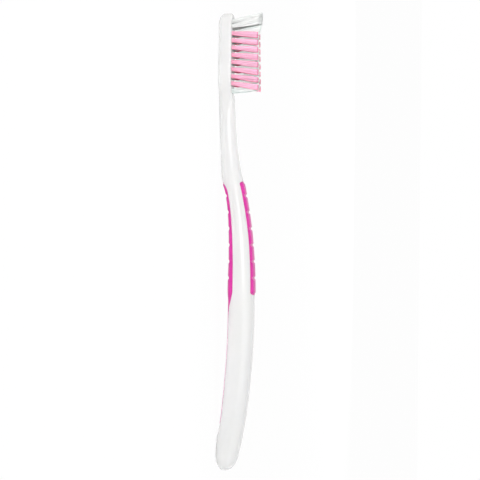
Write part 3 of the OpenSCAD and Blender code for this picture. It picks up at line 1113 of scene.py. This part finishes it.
@dataclass
class TuftField:
    """All the tufts of the head, with the sizes that place them."""

    moulding: Moulding
    rows: int = 8
    row_pitch: float = 2.95
    column_pitch: float = 2.3
    toe_pitch: float = 2.7
    toe_inset: float = 3.1
    toe_set_back: float = 0.6
    height: float = 10.8
    heel_extra: float = 0.4
    outer_lean: float = 4.0
    outer_heel_lean: float = 9.0
    clear_drop: float = 0.15
    last_clear_extra: float = 0.35
    toe_height: float = 12.3
    toe_inner_height: float = 12.2
    toe_crown: float = 1.6
    toe_lean: float = 11.5
    # The CAD's own strands, which with the toe's slant say how far the model reaches past the moulding
    cad_strand: float = 0.36
    cad_gap: float = 0.02
    cad_spread: float = 1.62
    strands: int = 46
    strand_radius: float = 0.098
    bundle_radius: float = 0.8
    squeeze: float = 0.2
    spread_y: float = 1.3
    root: float = 1.3
    # A filament, 1 long, has its root in the hole and its other pieces above the face
    root_share: float = 0.12
    other_shares: tuple[float, ...] = (0.16, 0.24, 0.24, 0.24)
    tip_rings: tuple[tuple[float, float], ...] = ((0.35, 0.8), (0.25, 0.5))
    stir: float = 0.07
    trim: float = 0.035
    variety: float = 0.35
    tuft_half: float = 0.85
    round_from: float = 0.35
    # How much of the inner colour, which is painted shade, the sides that face inwards and the flanks take
    inward_shade_share: float = 0.9
    inward_shade_from: float = 0.2
    flank_shade_share: float = 0.6
    hole_sides: int = 28
    sharp_angle: float = 70.0
    seed: int = 11
    random: np.random.Generator = field(init=False)

    # The last clear tufts are cut on a slope that leads up to the toe tufts
    clear = Tuft(lean=9.0, spread=1.62, flare=0.45)
    last_clear = replace(clear, rise=0.3, spread=2.1)
    heel = replace(clear, flank_shade_from=0.97)
    toe_inner = Tuft(spread=1.85, flank_shade_from=0.97)
    toe_tip = Tuft(spread=1.2, round_off=1.1, flank_shade_from=0.78)

    def __post_init__(self) -> None:
        """Seeds the small differences between filaments."""
        self.random = np.random.default_rng(self.seed)

    @property
    def toe_inner_x(self) -> float:
        """Place of the slanted tufts next to the straight rows."""
        return self.moulding.length - self.toe_inset - self.toe_pitch

    def row_x(self, i: int) -> float:
        """Place of a straight row, counted from the neck, with the heel tufts as row 0."""
        return self.toe_inner_x - (self.rows + 1 - i) * self.row_pitch

    @property
    def cut_rise(self) -> float:
        """How much higher a toe bristle is for each millimetre towards the toe."""
        rise = self.toe_height - self.toe_inner_height
        return rise / (self.toe_pitch + rise * math.tan(math.radians(self.toe_lean)))

    @property
    def middle(self) -> float:
        """Distance from the tail to the middle of the whole brush, where the model's origin is.

        Returns:
            Half the length of the brush over its toe bristles.
        """
        ring = (self.moulding.hole_width - self.cad_strand) / 2 - self.cad_gap
        spread = ring * self.cad_spread
        slant = math.tan(math.radians(self.toe_lean))
        tip = self.moulding.length - self.toe_inset + spread
        reach = tip + (self.toe_height + self.cut_rise * spread) * slant
        return max(self.moulding.length, reach + self.cad_strand / 2 * math.cos(math.pi / 4)) / 2

    def groups(self) -> dict[str, tuple[Nylon, list[Tuft]]]:
        """Lists the tufts of each CAD node.

        Returns:
            The kind of filament and the tufts, by the name of the node.
        """
        inner = (-self.column_pitch / 2, self.column_pitch / 2)
        outer = (-self.column_pitch * 1.5, self.column_pitch * 1.5)
        made: dict[str, tuple[Nylon, list[Tuft]]] = {}
        for i in range(1, self.rows + 1):
            # The straight tufts grow a little towards the heel, and the pink ones lean more
            share = (self.rows - i) / (self.rows - 1)
            x, tall = self.row_x(i), self.height + self.heel_extra * share
            pink = Tuft(lean=-mix(self.outer_lean, self.outer_heel_lean, share))
            made[f"pink_tufts_row_{i}"] = (Nylon.PINK, [pink.at(x, y, tall) for y in outer])
            clear, tall = self.clear, tall - self.clear_drop
            if i == self.rows:
                clear, tall = self.last_clear, self.height + self.last_clear_extra
            made[f"clear_tufts_row_{i}"] = (Nylon.CLEAR, [clear.at(x, y, tall) for y in inner])
        x, tall = self.row_x(0), self.height + self.heel_extra - self.clear_drop
        made["heel_tufts"] = (Nylon.CLEAR, [self.heel.at(x, y, tall) for y in inner])
        slant = {"lean": self.toe_lean, "rise": self.cut_rise, "crown": self.toe_crown}
        near, far = replace(self.toe_inner, **slant), replace(self.toe_tip, **slant)
        x, tall = self.toe_inner_x, self.toe_inner_height
        made["toe_tufts_inner"] = (Nylon.WHITE, [near.at(x, y, tall) for y in outer + inner])
        x, tall = self.moulding.length - self.toe_inset, self.toe_height
        tips = [(x - self.toe_set_back * side**2, side * self.column_pitch) for side in (-1, 0, 1)]
        made["toe_tufts_tip"] = (Nylon.WHITE, [far.at(*place, tall) for place in tips])
        return made

    def filament(self) -> bpy.types.Object:
        """Makes one filament, 1 long: a six-sided rod in five lengths with a rounded tip.

        Returns:
            The filament, upright on the origin.
        """
        deselect()
        bpy.ops.mesh.primitive_circle_add(vertices=6, radius=self.strand_radius, fill_type="NGON")
        rod = named("filament")
        start_edit()
        for length in (self.root_share, *self.other_shares):
            extrude(length)
        for rise, size in self.tip_rings:
            extrude(rise * self.strand_radius)
            bpy.ops.transform.resize(value=(size, size, 1))
        end_edit()
        return rod

    def bundle(self) -> tuple[bpy.types.Object, np.ndarray]:
        """Packs straight filaments side by side as they sit in a hole.

        Returns:
            The bundle, 1 long, and the places of its filaments.
        """
        rod = self.filament()
        golden = math.pi * (3 - math.sqrt(5))
        share = (np.arange(self.strands) + 0.5) / self.strands
        radius = (self.bundle_radius - self.strand_radius * self.squeeze) * np.sqrt(share)
        turn = golden * np.arange(self.strands)
        places = np.stack([radius * np.cos(turn), radius * np.sin(turn)], 1)
        rods = []
        for px, py in places:
            rods.append(copy_of(rod, "filament"))
            write_points(rods[-1], read_points(rod) + (px, py, 0))
        bpy.data.objects.remove(rod)
        return join(rods, "bundle"), places

    def plant(self, tuft: Tuft, bundle: bpy.types.Object, places: np.ndarray) -> bpy.types.Object:
        """Makes one tuft from the bundle: spread, slanted, trimmed and a little untidy.

        Args:
            tuft: Where it stands and how it is cut.
            bundle: The straight bundle.
            places: The places of its filaments.

        Returns:
            The tuft, in the model's frame, with the attributes that its material reads.
        """
        twin = copy_of(bundle, "tuft")
        points = read_points(twin)
        k = ((points[:, None, :2] - places[None]) ** 2).sum(2).argmin(1)
        local = points[:, :2] - places[k]
        rng = self.random
        turn = rng.uniform(0, 2 * math.pi)
        cos, sin = math.cos(turn), math.sin(turn)
        home = places @ np.array([[cos, sin], [-sin, cos]])
        wander = rng.normal(0, self.stir, (len(places), 2))
        trim = rng.normal(0, self.trim, len(places))
        out = home * (tuft.spread, self.spread_y) + wander
        lower = tuft.crown * ((tuft.y + out[:, 1]) / (self.column_pitch * 1.5 + self.tuft_half)) ** 2
        tall = tuft.height + tuft.rise * out[:, 0] - lower + trim
        tall = tall - tuft.round_off * np.clip(out[:, 0] - self.round_from, 0, None) ** 2
        body = np.clip(points[:, 2], 0, 1)
        tip = points[:, 2] - body
        # The first piece of each filament stands in the hole, the rest above the face
        above = np.clip((body - self.root_share) / (1 - self.root_share), 0, 1)
        sunk = np.clip((self.root_share - body) / self.root_share, 0, 1)
        plan = home[k] + (out - home)[k] * ease(above / tuft.flare)[:, None]
        slant = math.tan(math.radians(tuft.lean))
        x = tuft.x + plan[:, 0] + local[:, 0] + slant * tall[k] * above
        y = tuft.y + plan[:, 1] + local[:, 1]
        z = self.moulding.head_thickness - self.root * sunk + tall[k] * above + tip
        lay_points(twin, np.column_stack([x, y, z]), self.middle)
        # Painted shade: filaments on the side that faces the middle of the head, and on the flanks towards
        # the next tuft, take the inner colour
        painted_shade = ease(self.inward_shade_from - np.sign(tuft.y) * home[:, 1] / self.bundle_radius)
        side = ease((np.abs(home[:, 0]) / self.bundle_radius - tuft.flank_shade_from) / (1 - tuft.flank_shade_from))
        values = {
            "along": above,
            "strand": rng.uniform(0, self.variety, len(places))[k],
            "painted_shade": np.maximum(self.inward_shade_share * painted_shade, self.flank_shade_share * side)[k],
        }
        for name, value in values.items():
            store = twin.data.attributes.new(name, "FLOAT", "POINT")
            store.data.foreach_set("value", value)
        return twin

    def build(self) -> None:
        """Makes and dresses a piece for each CAD node of tufts."""
        materials = {kind: finish.material() for kind, finish in NYLONS.items()}
        bundle, places = self.bundle()
        for node, (nylon, tufts) in self.groups().items():
            planted = [self.plant(tuft, bundle, places) for tuft in tufts]
            piece = join(planted, f"{node}_filaments")
            shade(piece, self.sharp_angle)
            hand_in(piece, materials[nylon], node)
        bpy.data.objects.remove(bundle)

    def hole_cutter(self) -> bpy.types.Object:
        """Makes the shape that drills all the tuft holes: one round bar for each, in one object.

        Returns:
            The bars, from the floors of the holes to above the face of the head.
        """
        face, depth = self.moulding.head_thickness, self.moulding.hole_depth
        radius = self.moulding.hole_width / 2 * MM
        deselect()
        bpy.ops.mesh.primitive_cylinder_add(vertices=self.hole_sides, radius=radius, depth=1)
        first = named("hole")
        base = read_points(first)
        # The bars end a millimetre above the face
        above = np.where(base[:, 2] > 0, MM, 0)
        base[:, 2] = (face - depth / 2) * MM + base[:, 2] * depth * MM + above
        bars = []
        for tuft in (tuft for _, tufts in self.groups().values() for tuft in tufts):
            bars.append(copy_of(first, "hole"))
            write_points(bars[-1], base + np.array([tuft.x - self.middle, tuft.y, 0]) * MM)
        bpy.data.objects.remove(first)
        return join(bars, "holes")


# The studio


def place_in_scene(
    name: str, data: bpy.types.ID, axes: tuple[np.ndarray, ...], place: np.ndarray
) -> bpy.types.Object:
    """Adds a lamp or a camera to the scene.

    Args:
        name: Its name.
        data: The lamp or the camera.
        axes: The directions of its own x, y and z.
        place: Where it stands, in metres.

    Returns:
        Its object.
    """
    made = bpy.data.objects.new(name, data)
    bpy.context.scene.collection.objects.link(made)
    matrix = np.eye(4)
    matrix[:3] = np.stack([*axes, place], 1)
    made.matrix_world = Matrix(matrix.tolist())
    return made


@dataclass(frozen=True)
class SoftBox:
    """One rectangular lamp: places and sizes in metres, power in watts, roll and spread in degrees.

    Its place is given along the brush, in front of it and above the table, and its aim in front and above.
    """

    name: str
    place: tuple[float, float, float]
    size: tuple[float, float]
    power: float
    aim: tuple[float, float] = (0.0, 0.0)
    roll: float = 0.0
    spread: float = 180.0
    in_gloss: bool = True
    on_matt: bool = True

    def hang(self) -> None:
        """Adds the lamp to the scene."""
        data = bpy.data.lights.new(self.name, "AREA")
        data.shape = "RECTANGLE"
        data.size, data.size_y = self.size
        data.energy, data.spread = self.power, math.radians(self.spread)
        place = np.array(self.place)
        back = place - (self.place[0], *self.aim)
        back /= np.linalg.norm(back)
        level = np.array([-1.0, 0.0, 0.0])
        turn = math.radians(self.roll)
        side = math.cos(turn) * level + math.sin(turn) * np.cross(back, level)
        lamp = place_in_scene(self.name, data, (side, np.cross(back, side), back), place)
        lamp.visible_glossy, lamp.visible_diffuse = self.in_gloss, self.on_matt
        lamp.visible_camera = False


@dataclass
class Studio:
    """Camera, floor and light: a pale table top, soft light on the camera's side and pale surroundings.

    The fill stands beside the camera and lights the gaps between the tufts, and the head fill, a narrow beam,
    adds a little to it at the head. The back fill and the top fill keep the far side and the bristle tips
    from going grey, and the table light makes the table throw light on the underside. The strip and the low
    window are seen only in the gloss and give the plastic its highlight.
    """

    distance: float = 0.59
    elevation: float = 8.0
    roll: float = 0.6
    lens: float = 106.45
    clip: tuple[float, float] = (0.01, 60.0)
    aim: tuple[float, float, float] = (0.44, 0.0, 9.15)
    lamps: tuple[SoftBox, ...] = (
        SoftBox("fill", (0.085, 0.9, 0.094), (0.16, 0.16), 3.4, in_gloss=False),
        SoftBox("head_fill", (0.075, 0.86, 0.3), (0.1, 0.1), 0.0036, spread=16.0, in_gloss=False),
        SoftBox("back_fill", (0.075, -0.9, 0.2), (0.24, 0.3), 4.0, in_gloss=False),
        SoftBox("table_light", (0.0, 0.17, 0.3), (0.5, 0.3), 0.25, (0.17, 0.0), spread=30.0, in_gloss=False),
        SoftBox("top_fill", (-0.12, 0.5, 0.75), (0.16, 0.3), 0.4, in_gloss=False),
        SoftBox("strip", (-0.04, 0.8, 0.43), (1.1, 0.14), 1.3, roll=70.0, on_matt=False),
        SoftBox("low_window", (0.13, 0.8, 0.12), (0.3, 0.4), 2.3, on_matt=False),
    )
    horizon: float = 0.42
    zenith: float = 0.52
    table_size: float = 12.0
    table_colour: str = "#fafafa"
    table_plain: float = 0.97
    white: str = "#ffffff"

    def camera(self) -> None:
        """Places the camera beside the brush, turned so that the head is at the top of the picture."""
        high, tilt = math.radians(self.elevation), math.radians(self.roll)
        back = np.array([0, math.cos(high), math.sin(high)])
        right = np.array([0, -math.sin(high), math.cos(high)])
        ahead = np.array([1.0, 0, 0])
        up = ahead * math.cos(tilt) - right * math.sin(tilt)
        side = right * math.cos(tilt) + ahead * math.sin(tilt)
        data = bpy.data.cameras.new("camera")
        data.lens = self.lens
        data.clip_start, data.clip_end = self.clip
        place = np.array(self.aim) * MM + back * self.distance
        bpy.context.scene.camera = place_in_scene("camera", data, (side, up, back), place)

    def floor(self) -> None:
        """Lays a pale table top that shows as plain white and keeps the brush's shadow."""
        deselect()
        bpy.ops.mesh.primitive_plane_add(size=self.table_size, location=(0, 0, 0))
        floor = named("table_top")
        made = new_material("table_top_white")
        tree = made.node_tree
        shown = {0: background_rays(tree), 1: self.table_plain}
        share = add_node(tree, "ShaderNodeMath", shown, operation="MULTIPLY")
        cloth = add_node(tree, "ShaderNodeBsdfDiffuse", {"Color": linear(self.table_colour)})
        glow = add_node(tree, "ShaderNodeEmission", {"Color": linear(self.white), "Strength": 1.0})
        parts = {0: share.outputs[0], 1: cloth.outputs[0], 2: glow.outputs[0]}
        both = add_node(tree, "ShaderNodeMixShader", parts)
        add_node(tree, "ShaderNodeOutputMaterial", {"Surface": both.outputs[0]})
        floor.data.materials.append(made)

    def surroundings(self) -> None:
        """Sets up pale surroundings, which are a little brighter overhead and show as plain white."""
        world = bpy.data.worlds.new("surroundings")
        world.use_nodes = True
        bpy.context.scene.world = world
        tree = world.node_tree
        tree.nodes.clear()
        shown = background_rays(tree)
        where = add_node(tree, "ShaderNodeTexCoord").outputs["Generated"]
        up = add_node(tree, "ShaderNodeSeparateXYZ", {"Vector": where}).outputs["Z"]
        span = {"Value": up, "From Min": 0.1, "From Max": 0.9, "To Min": self.horizon, "To Max": self.zenith}
        level = add_node(tree, "ShaderNodeMapRange", span).outputs["Result"]
        white = linear(self.white)
        soft = add_node(tree, "ShaderNodeBackground", {"Color": white, "Strength": level})
        plain = add_node(tree, "ShaderNodeBackground", {"Color": white, "Strength": 1.0})
        parts = {0: shown, 1: soft.outputs[0], 2: plain.outputs[0]}
        both = add_node(tree, "ShaderNodeMixShader", parts)
        add_node(tree, "ShaderNodeOutputWorld", {"Surface": both.outputs[0]})

    def build(self) -> None:
        """Sets the camera, the floor, the light and the plain colour transform."""
        self.camera()
        self.floor()
        for lamp in self.lamps:
            lamp.hang()
        self.surroundings()
        bpy.context.scene.view_settings.view_transform = "Standard"


# The brush


@dataclass
class Toothbrush:
    """The whole brush: the moulding, its two grips, its tufts and their staples."""

    moulding: Moulding = field(default_factory=Moulding)
    tufts: TuftField = field(init=False)
    front: Grip = field(init=False)
    back: Grip = field(init=False)
    gap: float = 0.03

    def __post_init__(self) -> None:
        """Places the grips and the tufts on the moulding."""
        shoulder = self.moulding.shoulder_x
        self.tufts = TuftField(self.moulding)
        self.front = Grip(
            self.moulding,
            Side.FRONT,
            "front_grip_pad",
            low_x=shoulder - 48.05,
            high_x=shoulder - 0.85,
            low_end=1.3,
            high_end=1.3,
            low_half=4.6,
            high_half=3.8,
        )
        self.back = Grip(
            self.moulding,
            Side.BACK,
            "back_grip_pad",
            low_x=18.9,
            high_x=shoulder - 1.0,
            low_end=2.0,
            high_end=4.5,
            low_half=2.3,
            high_half=2.3,
            paddle_x=shoulder - 46.0,
            taper_x=shoulder - 60.0,
        )

    def build(self) -> None:
        """Makes and dresses every piece of the brush."""
        middle = self.tufts.middle
        cutters = [
            self.front.pocket_cutter(middle, self.gap),
            self.back.pocket_cutter(middle, self.gap),
            self.tufts.hole_cutter(),
        ]
        hand_in(self.moulding.build(middle, cutters), POLYPROPYLENE.material(), "handle")
        rubber = ELASTOMER.material()
        hand_in(self.front.build(middle), rubber, "front_grip")
        hand_in(self.back.build(middle), rubber, "back_grip")
        self.tufts.build()
        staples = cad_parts["tuft_staples"]
        staples.data.materials.clear()
        staples.data.materials.append(BrassWire().material())
        LOG.info("tuft_staples: the CAD node, with drawn brass")


def main() -> None:
    """Builds the brush and the studio."""
    logging.basicConfig(level=logging.INFO, format="%(name)s: %(message)s")
    Toothbrush().build()
    Studio().build()


if __name__ == "__main__":
    main()
